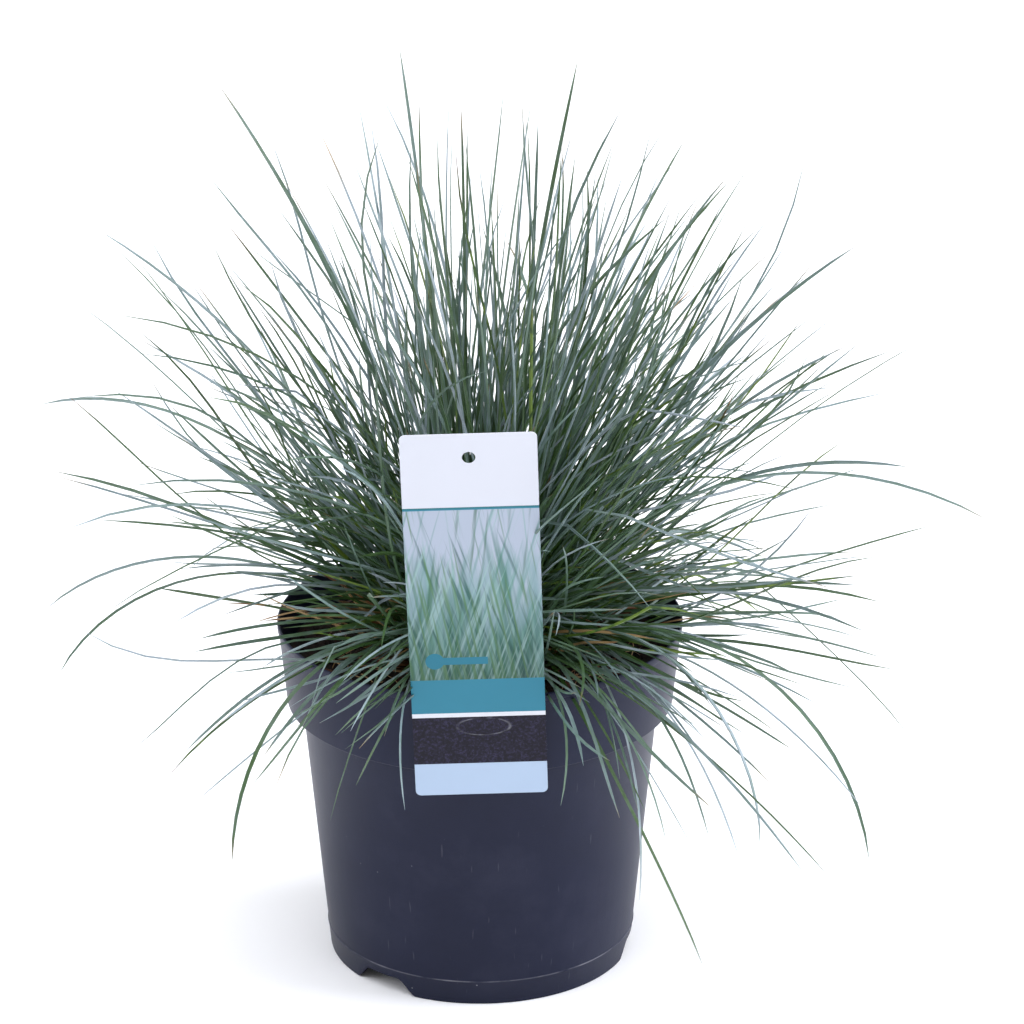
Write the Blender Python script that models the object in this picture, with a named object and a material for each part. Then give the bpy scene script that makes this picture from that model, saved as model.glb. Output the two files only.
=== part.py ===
# Potted blue fescue clump: a tuft of fine blue-grey grass in a moulded nursery pot, with a plant label.
# Metres, +Z up. The origin is on the ground, under the middle of the pot.

import math
import random

import bmesh
import bpy
from mathutils import Matrix, Vector

MM = 0.001
GAP = 0.5 * MM

# Pot: radii and heights of the turned shape
POT_HEIGHT = 166.5 * MM
RIM_RADIUS = 95 * MM
LIP_DEPTH = 3 * MM
BAND_HEIGHT = 40 * MM
BAND_FOOT_RADIUS = 91 * MM
WALL_TOP_RADIUS = 84 * MM
FOOT_RADIUS = 72 * MM
WALL = 1.6 * MM
FLOOR_HEIGHT = 9 * MM
RIDGE_HEIGHT = 12 * MM
RIDGE_DEPTH = 0.3 * MM
POT_SIDES = 60

# Foot notches and drain holes
NOTCH_COUNT = 3
NOTCH_FIRST = -39.5
NOTCH_FOOT_WIDTH = 31 * MM
NOTCH_TOP_WIDTH = 17 * MM
NOTCH_HEIGHT = 8 * MM
DRAIN_COUNT = 6
DRAIN_RADIUS = 4.5 * MM
DRAIN_RING = 50 * MM

# Soil and crown
SOIL_EDGE_HEIGHT = 149.5 * MM
SOIL_MIDDLE_HEIGHT = 154 * MM
SOIL_SIDES = 40
CROWN_RADIUS = 40 * MM
CROWN_HEIGHT = 12 * MM
CROWN_EDGE = 1 * MM
CROWN_SIDES = 24

# Label and its strap
LABEL_WIDTH = 60 * MM
LABEL_LENGTH = 190 * MM
LABEL_THICKNESS = 0.5 * MM
LABEL_CORNER = 2.5 * MM
LABEL_LEAN = 10
LABEL_ROLL = 1.75
LABEL_FOOT_HEIGHT = 116.9 * MM
LABEL_HOLE_RADIUS = 3 * MM
LABEL_HOLE_DROP = 12 * MM
STRAP_WIDTH = 12 * MM
STRAP_THICKNESS = 0.6 * MM

# Foliage: the blades leave the surface of a low dome over the crown
DOME_RADIUS = 42 * MM
DOME_HEIGHT = 14 * MM
DOME_LEVEL = 158 * MM
BEND_POWER = 1.25
SPRAY_POINTS = 8
BLADE_POINTS = 11
BLADE_RADIUS = 1.1 * MM

# Each ring of sprays: how many places round the crown, the first one's azimuth, the places kept free
# for the label, then lean and droop in degrees, length and greatest radius.
# Azimuths run from the front, which is -Y, towards +X.
SPRAY_RINGS = [
    dict(places=5, first=10, free=[], lean=12, droop=10, length=262 * MM, radius=9 * MM),
    dict(places=9, first=20, free=[], lean=30, droop=20, length=225 * MM, radius=9 * MM),
    dict(places=12, first=0, free=[0], lean=48, droop=35, length=172 * MM, radius=9 * MM),
    dict(places=12, first=15, free=[0, 11], lean=64, droop=62, length=160 * MM, radius=7 * MM),
    dict(places=1, first=0, free=[], lean=25, droop=4, length=235 * MM, radius=7 * MM),
]

# Long single blades that stand out past the dome: azimuth, lean, droop in degrees, and length
LONG_BLADES = [
    (270, 5, 2, 272 * MM),
    (260, 14, 20, 270 * MM),
    (96, 5, 7, 266 * MM),
    (122, 14, 25, 234 * MM),
    (58, 16, 22, 260 * MM),
    (84, 26, 28, 238 * MM),
    (47, 36, 65, 307 * MM),
    (75, 35, 60, 203 * MM),
    (52, 58, 114, 225 * MM),
    (41, 53, 127, 197 * MM),
    (322.5, 57, 123, 185 * MM),
    (280.5, 50, 101, 184 * MM),
    (262.5, 58, 75, 180 * MM),
    (231.5, 53, 60, 257 * MM),
    (280, 24, 30, 250 * MM),
    (190, 42, 58, 196 * MM),
]

JITTER = random.Random(7)


def clear_scene():
    for thing in list(bpy.data.objects):
        bpy.data.objects.remove(thing, do_unlink=True)


def material(name, colour, roughness):
    made = bpy.data.materials.new(name)
    made.use_nodes = True
    shader = made.node_tree.nodes["Principled BSDF"]
    shader.inputs["Base Color"].default_value = (*colour, 1)
    shader.inputs["Roughness"].default_value = roughness
    shader.inputs["Metallic"].default_value = 0
    return made


def add_mesh(name, bm, made_of, sharp_angle=40):
    mesh = bpy.data.meshes.new(name)
    bm.to_mesh(mesh)
    bm.free()
    mesh.shade_smooth()
    mesh.set_sharp_from_angle(angle=math.radians(sharp_angle))
    if made_of:
        mesh.materials.append(made_of)
    piece = bpy.data.objects.new(name, mesh)
    bpy.context.scene.collection.objects.link(piece)
    return piece


def subtract(piece, cutter):
    cutter.hide_render = True
    cutter.display_type = "WIRE"
    cut = piece.modifiers.new("cut", "BOOLEAN")
    cut.operation = "DIFFERENCE"
    cut.object = cutter


def turned(profile, sides):
    # A closed solid turned round Z. The profile's radii and heights run from the outside to the inside,
    # and it is closed back to its first point unless both its ends are on the axis.
    bm = bmesh.new()
    points = [bm.verts.new((radius, 0, height)) for radius, height in profile]
    edges = [bm.edges.new(pair) for pair in zip(points, points[1:])]
    if profile[0][0] > 0:
        edges.append(bm.edges.new((points[-1], points[0])))
    bmesh.ops.spin(bm, geom=points + edges, cent=(0, 0, 0), axis=(0, 0, 1), angle=2 * math.pi,
                   steps=sides, use_merge=True, use_duplicate=False)
    bmesh.ops.remove_doubles(bm, verts=bm.verts, dist=0.01 * MM)
    bmesh.ops.recalc_face_normals(bm, faces=bm.faces)
    return bm


def wall_radius(height):
    # The outside of the tapered wall below the rim band
    share = height / (POT_HEIGHT - BAND_HEIGHT)
    return FOOT_RADIUS + (WALL_TOP_RADIUS - FOOT_RADIUS) * share


def pot_outside():
    band_foot = POT_HEIGHT - BAND_HEIGHT
    ridge = wall_radius(RIDGE_HEIGHT)
    return [
        (RIM_RADIUS - 0.7 * MM, POT_HEIGHT),
        (RIM_RADIUS, POT_HEIGHT - 0.8 * MM),
        (RIM_RADIUS, POT_HEIGHT - LIP_DEPTH),
        (RIM_RADIUS - 0.6 * MM, POT_HEIGHT - LIP_DEPTH - 0.7 * MM),
        (BAND_FOOT_RADIUS, band_foot + 1.2 * MM),
        (BAND_FOOT_RADIUS - 0.4 * MM, band_foot + 0.3 * MM),
        (BAND_FOOT_RADIUS - 1.4 * MM, band_foot),
        (WALL_TOP_RADIUS + 0.9 * MM, band_foot - 1.1 * MM),
        (wall_radius(band_foot - 2.2 * MM), band_foot - 2.2 * MM),
        (wall_radius(60 * MM), 60 * MM),
        (ridge, RIDGE_HEIGHT + 0.6 * MM),
        (ridge + RIDGE_DEPTH, RIDGE_HEIGHT),
        (ridge, RIDGE_HEIGHT - 0.6 * MM),
        (wall_radius(0.8 * MM), 0.8 * MM),
        (FOOT_RADIUS - 0.5 * MM, 0),
    ]


def pot_inside():
    # From the foot ring, under the floor and across it, then up the inside to the lip
    band_foot = POT_HEIGHT - BAND_HEIGHT
    floor_top = FLOOR_HEIGHT + WALL
    ring = FOOT_RADIUS - WALL - 0.5 * MM
    return [
        (ring, 0),
        (ring + 0.2 * MM, FLOOR_HEIGHT - 1.5 * MM),
        (ring - 1.2 * MM, FLOOR_HEIGHT),
        (0, FLOOR_HEIGHT),
        (0, floor_top),
        (wall_radius(floor_top) - WALL - 1.6 * MM, floor_top),
        (wall_radius(floor_top) - WALL, floor_top + 1.6 * MM),
        (wall_radius(band_foot - 3 * MM) - WALL, band_foot - 3 * MM),
        (WALL_TOP_RADIUS - WALL + 0.6 * MM, band_foot + 0.5 * MM),
        (BAND_FOOT_RADIUS - WALL - 1 * MM, band_foot + 1.7 * MM),
        (BAND_FOOT_RADIUS - WALL, band_foot + 2.8 * MM),
        (RIM_RADIUS - WALL - 0.7 * MM, POT_HEIGHT - LIP_DEPTH),
        (RIM_RADIUS - WALL - 0.3 * MM, POT_HEIGHT - 0.5 * MM),
        (RIM_RADIUS - WALL + 0.2 * MM, POT_HEIGHT),
    ]


def notch_half_width(height):
    # Wide at the ground and narrow at the ceiling, with a soft S between them
    share = min(max(height / NOTCH_HEIGHT, 0), 1)
    eased = share * share * (3 - 2 * share)
    return (NOTCH_FOOT_WIDTH + (NOTCH_TOP_WIDTH - NOTCH_FOOT_WIDTH) * eased) / 2


def build_pot_cutter():
    bm = bmesh.new()
    near = FOOT_RADIUS - 10 * MM
    far = FOOT_RADIUS + 10 * MM
    heights = [-2 * MM] + [NOTCH_HEIGHT * step / 5 for step in range(1, 6)]
    outline = [(notch_half_width(height), height) for height in heights]
    outline += [(-width, height) for width, height in reversed(outline)]
    for number in range(NOTCH_COUNT):
        turn = Matrix.Rotation(math.radians(NOTCH_FIRST + 360 / NOTCH_COUNT * number), 4, "Z")
        face = bm.faces.new([bm.verts.new(turn @ Vector((x, -near, z))) for x, z in outline])
        grown = bmesh.ops.extrude_face_region(bm, geom=[face])["geom"]
        outward = turn @ Vector((0, near - far, 0))
        bmesh.ops.translate(bm, verts=[v for v in grown if isinstance(v, bmesh.types.BMVert)], vec=outward)
    for number in range(DRAIN_COUNT):
        turn = Matrix.Rotation(2 * math.pi * number / DRAIN_COUNT, 4, "Z")
        place = turn @ Matrix.Translation((DRAIN_RING, 0, FLOOR_HEIGHT))
        bmesh.ops.create_cone(bm, cap_ends=True, segments=12, radius1=DRAIN_RADIUS, radius2=DRAIN_RADIUS,
                              depth=10 * MM, matrix=place)
    bmesh.ops.recalc_face_normals(bm, faces=bm.faces)
    return add_mesh("pot_cutter", bm, None)


def build_pot():
    plastic = material("pot_plastic", (0.035, 0.038, 0.062), 0.5)
    pot = add_mesh("pot", turned(pot_outside() + pot_inside(), POT_SIDES), plastic, 30)
    subtract(pot, build_pot_cutter())


def build_soil():
    band_foot = POT_HEIGHT - BAND_HEIGHT
    low = FLOOR_HEIGHT + WALL + GAP
    wall_gap = WALL + GAP
    profile = [
        (0, SOIL_MIDDLE_HEIGHT),
        (46 * MM, SOIL_MIDDLE_HEIGHT),
        (66 * MM, SOIL_MIDDLE_HEIGHT - 1 * MM),
        (84 * MM, SOIL_EDGE_HEIGHT + 1.5 * MM),
        (90.2 * MM, SOIL_EDGE_HEIGHT),
        (BAND_FOOT_RADIUS - wall_gap, band_foot + 3.6 * MM),
        (BAND_FOOT_RADIUS - wall_gap - 0.8 * MM, band_foot + 2.4 * MM),
        (WALL_TOP_RADIUS - wall_gap, band_foot + 1.2 * MM),
        (wall_radius(band_foot - 4 * MM) - wall_gap, band_foot - 4 * MM),
        (wall_radius(low) - wall_gap, low + 2 * MM),
        (wall_radius(low) - wall_gap - 2 * MM, low),
        (0, low),
    ]
    peat = material("peat", (0.03, 0.018, 0.012), 0.95)
    add_mesh("soil", turned(profile, SOIL_SIDES), peat, 50)


def build_crown():
    base = SOIL_MIDDLE_HEIGHT + GAP
    steps = 5
    profile = [(0, base + CROWN_HEIGHT)]
    for step in range(1, steps + 1):
        angle = math.pi / 2 * step / steps
        height = base + CROWN_EDGE + (CROWN_HEIGHT - CROWN_EDGE) * math.cos(angle)
        profile.append((CROWN_RADIUS * math.sin(angle), height))
    profile.append((CROWN_RADIUS, base))
    profile.append((0, base))
    sheaths = material("crown_sheaths", (0.09, 0.07, 0.03), 0.8)
    add_mesh("crown", turned(profile, CROWN_SIDES), sheaths, 60)


def label_back(height):
    # The label's back plane clears the foot of the rim band and leans away from the pot above it
    touch = BAND_FOOT_RADIUS + 0.4 * MM
    return -(touch + (height - (POT_HEIGHT - BAND_HEIGHT)) * math.tan(math.radians(LABEL_LEAN)))


def build_label():
    card = bmesh.new()
    bmesh.ops.create_cube(card, size=1)
    bmesh.ops.translate(card, verts=card.verts, vec=(0, -0.5, 0.5))
    bmesh.ops.scale(card, verts=card.verts, vec=(LABEL_WIDTH, LABEL_THICKNESS, LABEL_LENGTH))
    corners = [e for e in card.edges if abs((e.verts[0].co - e.verts[1].co).y) > LABEL_THICKNESS / 2]
    bmesh.ops.bevel(card, geom=corners, offset=LABEL_CORNER, segments=4, profile=0.5, affect="EDGES")
    plastic = material("label_plastic", (0.85, 0.86, 0.9), 0.35)
    label = add_mesh("label", card, plastic, 30)
    label.location = (0.7 * MM, label_back(LABEL_FOOT_HEIGHT), LABEL_FOOT_HEIGHT)
    lean = Matrix.Rotation(math.radians(LABEL_LEAN), 3, "X")
    roll = Matrix.Rotation(math.radians(-LABEL_ROLL), 3, "Y")
    label.rotation_euler = (lean @ roll).to_euler()

    punch = bmesh.new()
    across = Matrix.Rotation(math.pi / 2, 4, "X")
    bmesh.ops.create_cone(punch, cap_ends=True, segments=20, radius1=LABEL_HOLE_RADIUS,
                          radius2=LABEL_HOLE_RADIUS, depth=6 * MM, matrix=across)
    bmesh.ops.translate(punch, verts=punch.verts, vec=(0, 0, LABEL_LENGTH - LABEL_HOLE_DROP))
    cutter = add_mesh("label_cutter", punch, None)
    cutter.parent = label
    subtract(label, cutter)


def build_label_strap():
    # A strip against the label's back that goes up, over the rim and down inside it
    off = GAP + STRAP_THICKNESS
    inside = -(RIM_RADIUS - WALL - 1.8 * MM)
    path = [
        (label_back(143 * MM) + off, 143 * MM),
        (label_back(163 * MM) + off, 163 * MM),
        (label_back(166 * MM) + off, 166 * MM),
        (-(RIM_RADIUS + 1.3 * MM), 167.8 * MM),
        (-(RIM_RADIUS - 1.0 * MM), 168.4 * MM),
        (inside - 0.6 * MM, 167.4 * MM),
        (inside, 165 * MM),
        (inside + 0.8 * MM, 154 * MM),
    ]
    bm = bmesh.new()
    points = [bm.verts.new((-STRAP_WIDTH / 2, y, z)) for y, z in path]
    edges = [bm.edges.new(pair) for pair in zip(points, points[1:])]
    grown = bmesh.ops.extrude_edge_only(bm, edges=edges)["geom"]
    side = [v for v in grown if isinstance(v, bmesh.types.BMVert)]
    bmesh.ops.translate(bm, verts=side, vec=(STRAP_WIDTH, 0, 0))
    bmesh.ops.solidify(bm, geom=bm.faces[:], thickness=STRAP_THICKNESS)
    bmesh.ops.recalc_face_normals(bm, faces=bm.faces)
    plastic = material("strap_plastic", (0.8, 0.82, 0.85), 0.4)
    add_mesh("label_strap", bm, plastic, 30)


def blade_curve(azimuth, lean, droop, length, count):
    # Points along a blade: it leaves the dome at its lean and turns downwards by its droop
    place = math.radians(min(lean * 1.25 + 4, 84))
    radius = DOME_RADIUS * math.sin(place)
    height = DOME_LEVEL + DOME_HEIGHT * math.cos(place)
    fine = 8
    step = length / ((count - 1) * fine)
    points = []
    for number in range((count - 1) * fine + 1):
        if number % fine == 0:
            points.append((radius, height))
        share = (number + 0.5) / ((count - 1) * fine)
        angle = math.radians(lean + droop * share ** BEND_POWER)
        radius += step * math.sin(angle)
        height += step * math.cos(angle)
    outward = Vector((math.sin(math.radians(azimuth)), -math.cos(math.radians(azimuth)), 0))
    return [outward * r + Vector((0, 0, z)) for r, z in points]


def add_tube(name, points, radii, sides, made_of):
    curve = bpy.data.curves.new(name, "CURVE")
    curve.dimensions = "3D"
    curve.bevel_depth = 1
    curve.bevel_resolution = (sides - 4) // 2
    curve.use_fill_caps = True
    spline = curve.splines.new("POLY")
    spline.points.add(len(points) - 1)
    for point, place, radius in zip(spline.points, points, radii):
        point.co = (*place, 1)
        point.radius = radius
    curve.materials.append(made_of)
    bpy.context.scene.collection.objects.link(bpy.data.objects.new(name, curve))


def spray_radius(share, widest):
    # Gathered at the crown, widest before the middle, and drawn out to the tips
    return max(widest * 1.9 * math.sqrt(share + 0.07) * (1 - share) ** 0.9, 0.4 * MM)


def build_sprays():
    leaves = material("spray_leaves", (0.16, 0.23, 0.2), 0.55)
    number = 0
    for ring in SPRAY_RINGS:
        for place in range(ring["places"]):
            if place in ring["free"]:
                continue
            number += 1
            azimuth = ring["first"] + 360 / ring["places"] * place + JITTER.uniform(-2, 2)
            lean = ring["lean"] + JITTER.uniform(-2, 2)
            length = ring["length"] * JITTER.uniform(0.95, 1.05)
            points = blade_curve(azimuth, lean, ring["droop"], length, SPRAY_POINTS)
            radii = [spray_radius(i / (SPRAY_POINTS - 1), ring["radius"]) for i in range(SPRAY_POINTS)]
            add_tube(f"leaf_spray_{number:02d}", points, radii, 6, leaves)


def build_long_blades():
    leaf = material("long_leaf", (0.19, 0.27, 0.25), 0.5)
    for number, (azimuth, lean, droop, length) in enumerate(LONG_BLADES, 1):
        points = blade_curve(azimuth, lean, droop, length, BLADE_POINTS)
        radii = [BLADE_RADIUS * (1 - 0.7 * i / (BLADE_POINTS - 1)) for i in range(BLADE_POINTS)]
        add_tube(f"long_blade_{number:02d}", points, radii, 4, leaf)


clear_scene()
build_pot()
build_soil()
build_crown()
build_label()
build_label_strap()
build_sprays()
build_long_blades()
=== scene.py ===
import math
import random

import bmesh
import bpy
from mathutils import Matrix, Vector, noise


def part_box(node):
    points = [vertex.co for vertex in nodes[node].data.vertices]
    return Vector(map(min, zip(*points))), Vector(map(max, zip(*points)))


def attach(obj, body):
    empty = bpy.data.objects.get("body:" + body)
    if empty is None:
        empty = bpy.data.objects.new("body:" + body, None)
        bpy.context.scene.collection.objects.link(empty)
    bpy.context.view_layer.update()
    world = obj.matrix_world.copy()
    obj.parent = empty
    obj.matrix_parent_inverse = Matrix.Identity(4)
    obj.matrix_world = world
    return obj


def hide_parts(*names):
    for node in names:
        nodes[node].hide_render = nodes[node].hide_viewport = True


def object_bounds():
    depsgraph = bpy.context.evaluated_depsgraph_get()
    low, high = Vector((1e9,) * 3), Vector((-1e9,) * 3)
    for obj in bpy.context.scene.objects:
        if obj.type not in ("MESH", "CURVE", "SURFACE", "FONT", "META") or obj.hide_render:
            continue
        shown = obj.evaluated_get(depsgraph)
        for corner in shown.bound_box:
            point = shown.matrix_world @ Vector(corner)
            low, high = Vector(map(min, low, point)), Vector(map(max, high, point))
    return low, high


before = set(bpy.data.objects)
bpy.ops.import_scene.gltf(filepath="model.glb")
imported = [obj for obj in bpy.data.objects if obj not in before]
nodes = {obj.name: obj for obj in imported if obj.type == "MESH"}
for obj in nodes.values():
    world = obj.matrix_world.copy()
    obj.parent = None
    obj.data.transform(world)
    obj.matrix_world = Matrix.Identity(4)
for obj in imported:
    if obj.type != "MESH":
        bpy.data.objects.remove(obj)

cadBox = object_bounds()
mm = 0.001
print("frame loaded:", len(nodes), "nodes")


# Helpers

def colour(code):
    # sRGB hex to the linear values that sockets take
    parts = [int(code[i:i + 2], 16) / 255 for i in (1, 3, 5)]
    return (*[p / 12.92 if p <= 0.04045 else ((p + 0.055) / 1.055) ** 2.4 for p in parts], 1)


def addNode(tree, kind, inputs=None, **settings):
    # inputs maps a socket's name or number to a value or to another node's output
    node = tree.nodes.new("ShaderNode" + kind)
    for name, value in settings.items():
        setattr(node, name, value)
    for name, value in (inputs or {}).items():
        if isinstance(value, bpy.types.NodeSocket):
            tree.links.new(value, node.inputs[name])
        else:
            node.inputs[name].default_value = value
    return node


def setRamp(node, stops, interpolation="LINEAR"):
    ramp = node.color_ramp
    ramp.interpolation = interpolation
    while len(ramp.elements) < len(stops):
        ramp.elements.new(0.5)
    for element, (place, code) in zip(ramp.elements, stops):
        element.position = place
        element.color = colour(code)
    return node.outputs["Color"]


def startMaterial(name, **shaderValues):
    made = bpy.data.materials.new(name)
    made.use_nodes = True
    shader = made.node_tree.nodes["Principled BSDF"]
    for socket, value in shaderValues.items():
        shader.inputs[socket.replace("_", " ")].default_value = value
    return made, made.node_tree, shader


def finishPiece(name, bm, made, replaced=(), sharp=None):
    mesh = bpy.data.meshes.new(name)
    bm.to_mesh(mesh)
    bm.free()
    mesh.materials.append(made)
    mesh.shade_smooth()
    if sharp:
        mesh.set_sharp_from_angle(angle=math.radians(sharp))
    piece = bpy.data.objects.new(name, mesh)
    bpy.context.scene.collection.objects.link(piece)
    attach(piece, "root")
    if replaced:
        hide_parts(*replaced)
    return piece


def turned(profile, sides):
    # a closed solid turned round Z from (radius, height) pairs in millimetres
    bm = bmesh.new()
    points = [bm.verts.new((r * mm, 0, z * mm)) for r, z in profile]
    edges = [bm.edges.new(pair) for pair in zip(points, points[1:])]
    if profile[0][0] > 0:
        edges.append(bm.edges.new((points[-1], points[0])))
    bmesh.ops.spin(bm, geom=points + edges, cent=(0, 0, 0), axis=(0, 0, 1), angle=2 * math.pi,
                   steps=sides, use_merge=True, use_duplicate=False)
    bmesh.ops.remove_doubles(bm, verts=bm.verts, dist=0.01 * mm)
    bmesh.ops.recalc_face_normals(bm, faces=bm.faces)
    return bm


# Camera and light

view = dict(place=(0, -2.0, 1.0083), down=21.54, right=0.43, lens=162.7, sensor=36, far=60)

camera = bpy.data.objects.new("camera", bpy.data.cameras.new("camera"))
camera.location = view["place"]
camera.rotation_euler = (math.radians(90 - view["down"]), 0, math.radians(-view["right"]))
camera.data.lens = view["lens"]
camera.data.sensor_width = view["sensor"]
camera.data.clip_end = view["far"]
bpy.context.scene.collection.objects.link(camera)
bpy.context.scene.camera = camera
bpy.context.scene.view_settings.view_transform = "Standard"

studio = dict(
    skyFront=0.4, skyBack=0.72, aim=(0, 0, 0.2),
    softboxes=[
        dict(name="top_softbox", place=(0, -1.0, 5.2), size=5.2, power=256),
        dict(name="left_softbox", place=(-4.8, -0.4, 2.3), size=3.6, power=120),
        dict(name="right_softbox", place=(4.8, 0.0, 2.5), size=3.6, power=316),
    ],
    lampTint="#F4F6FF",
    floor=dict(size=40, tint="#FFFFFF"),
)


def buildStudio():
    world = bpy.data.worlds.new("studio")
    world.use_nodes = True
    tree = world.node_tree
    sky = tree.nodes["Background"]
    sky.inputs["Color"].default_value = (1, 1, 1, 1)
    heading = addNode(tree, "SeparateXYZ", {0: addNode(tree, "TexCoord").outputs["Generated"]})
    strength = addNode(tree, "MapRange", {"Value": heading.outputs["Y"], "From Min": -0.9, "From Max": 0.4,
                                          "To Min": studio["skyFront"], "To Max": studio["skyBack"]})
    tree.links.new(strength.outputs[0], sky.inputs["Strength"])  # the room is darker on the front side
    bpy.context.scene.world = world
    for box in studio["softboxes"]:
        lamp = bpy.data.lights.new(box["name"], "AREA")
        lamp.size = box["size"]
        lamp.energy = box["power"]
        lamp.color = colour(studio["lampTint"])[:3]
        holder = bpy.data.objects.new(box["name"], lamp)
        holder.location = box["place"]
        holder.rotation_euler = (Vector(studio["aim"]) - holder.location).to_track_quat("-Z", "Y").to_euler()
        bpy.context.scene.collection.objects.link(holder)
    paper, tree, shader = startMaterial("whitePaperBackdrop", Roughness=0.9)
    shader.inputs["Base Color"].default_value = colour(studio["floor"]["tint"])
    shader.inputs["Specular IOR Level"].default_value = 0
    bm = bmesh.new()
    bmesh.ops.create_grid(bm, x_segments=1, y_segments=1, size=studio["floor"]["size"] / 2)
    mesh = bpy.data.meshes.new("floor")
    bm.to_mesh(mesh)
    bm.free()
    mesh.materials.append(paper)
    floor = bpy.data.objects.new("floor", mesh)
    bpy.context.scene.collection.objects.link(floor)


buildStudio()
print("camera and studio ready")


# Pot: injection-moulded polypropylene, dark blue-grey

pot = dict(
    height=166.5, rim=95, lip=3, bandHeight=40, bandFoot=91, wallTop=84, foot=72, wall=1.6, floor=9,
    ridge=12, sides=192,
    notches=3, firstNotch=-39.5, notchFoot=31, notchTop=17, notchHeight=8,
    drains=6, drainRing=50, drainRadius=4.5,
)


def wallRadius(height):
    return pot["foot"] + (pot["wallTop"] - pot["foot"]) * height / (pot["height"] - pot["bandHeight"])


def roundedCorner(centre, radius, start, end, steps=4):
    # points on an arc in the profile plane, from one angle to another in degrees
    angles = [math.radians(start + (end - start) * i / steps) for i in range(steps + 1)]
    return [(centre[0] + radius * math.cos(a), centre[1] + radius * math.sin(a)) for a in angles]


def potProfile():
    top = pot["height"]
    rim = pot["rim"]
    band = top - pot["bandHeight"]
    wall = pot["wall"]
    thick = wall - 0.3
    ridge = wallRadius(pot["ridge"])
    floorTop = pot["floor"] + wall
    ring = pot["foot"] - wall - 0.5
    outside = roundedCorner((rim - 0.8, top - 0.8), 0.8, 90, 0)
    under = top - pot["lip"]
    outside += [(rim, under), (rim - 0.15, under - 0.4), (rim - 0.6, under - 0.7)]
    outside += roundedCorner((pot["bandFoot"] - 1.3, band + 1.3), 1.3, 0, -90)
    outside += [(pot["wallTop"] + 1.3, band - 0.9), (pot["wallTop"] + 0.5, band - 1.3)]
    outside += [(wallRadius(band - 2.4), band - 2.4), (wallRadius(60), 60)]
    outside += [(ridge + 0.3 * math.sin(math.pi * i / 4), pot["ridge"] + 0.6 - 0.3 * i) for i in range(5)]
    outside += [(wallRadius(0.8), 0.8), (wallRadius(0.25) - 0.1, 0.25), (pot["foot"] - 0.5, 0)]
    base = pot["floor"]
    inside = [(ring, 0), (ring + 0.2, base - 1.5), (ring - 0.3, base - 0.4), (ring - 1.2, base)]
    inside += [(0, base), (0, floorTop), (wallRadius(floorTop) - wall - 1.6, floorTop)]
    inside += [(wallRadius(floorTop) - wall, floorTop + 1.6), (wallRadius(band - 3) - wall, band - 3)]
    inside += [(pot["wallTop"] - wall + 0.6, band + 0.5), (pot["bandFoot"] - wall - 1, band + 1.7)]
    inside += [(pot["bandFoot"] - wall, band + 2.8), (rim - wall - 0.7, under)]
    inside += roundedCorner((rim - thick + 0.6, top - 0.6), 0.6, 180, 90, 3)
    return outside + inside


def potCutter():
    bm = bmesh.new()
    outline = [(pot["notchFoot"] / 2 + 3, -2), (pot["notchFoot"] / 2 + 3, -0.01)]
    run = (pot["notchFoot"] - pot["notchTop"]) / 2 + 3
    for i in range(1, 13):
        share = i / 12  # a rounded foot corner that sweeps up into a rounded top corner
        rise = share * share * (3 - 2 * share)
        outline.append((pot["notchFoot"] / 2 + 3 - run * share, pot["notchHeight"] * rise))
    outline += [(-x, z) for x, z in reversed(outline)]
    near = (pot["foot"] - 10) * mm
    for number in range(pot["notches"]):
        turn = Matrix.Rotation(math.radians(pot["firstNotch"] + 360 / pot["notches"] * number), 4, "Z")
        face = bm.faces.new([bm.verts.new(turn @ Vector((x * mm, -near, z * mm))) for x, z in outline])
        grown = bmesh.ops.extrude_face_region(bm, geom=[face])["geom"]
        moved = [v for v in grown if isinstance(v, bmesh.types.BMVert)]
        bmesh.ops.translate(bm, verts=moved, vec=turn @ Vector((0, -20 * mm, 0)))
    for number in range(pot["drains"]):
        turn = Matrix.Rotation(2 * math.pi * number / pot["drains"], 4, "Z")
        place = turn @ Matrix.Translation((pot["drainRing"] * mm, 0, pot["floor"] * mm))
        bmesh.ops.create_cone(bm, cap_ends=True, segments=24, radius1=pot["drainRadius"] * mm,
                              radius2=pot["drainRadius"] * mm, depth=10 * mm, matrix=place)
    bmesh.ops.recalc_face_normals(bm, faces=bm.faces)
    mesh = bpy.data.meshes.new("potCutter")
    bm.to_mesh(mesh)
    bm.free()
    cutter = bpy.data.objects.new("potCutter", mesh)
    bpy.context.scene.collection.objects.link(cutter)
    return cutter


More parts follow.
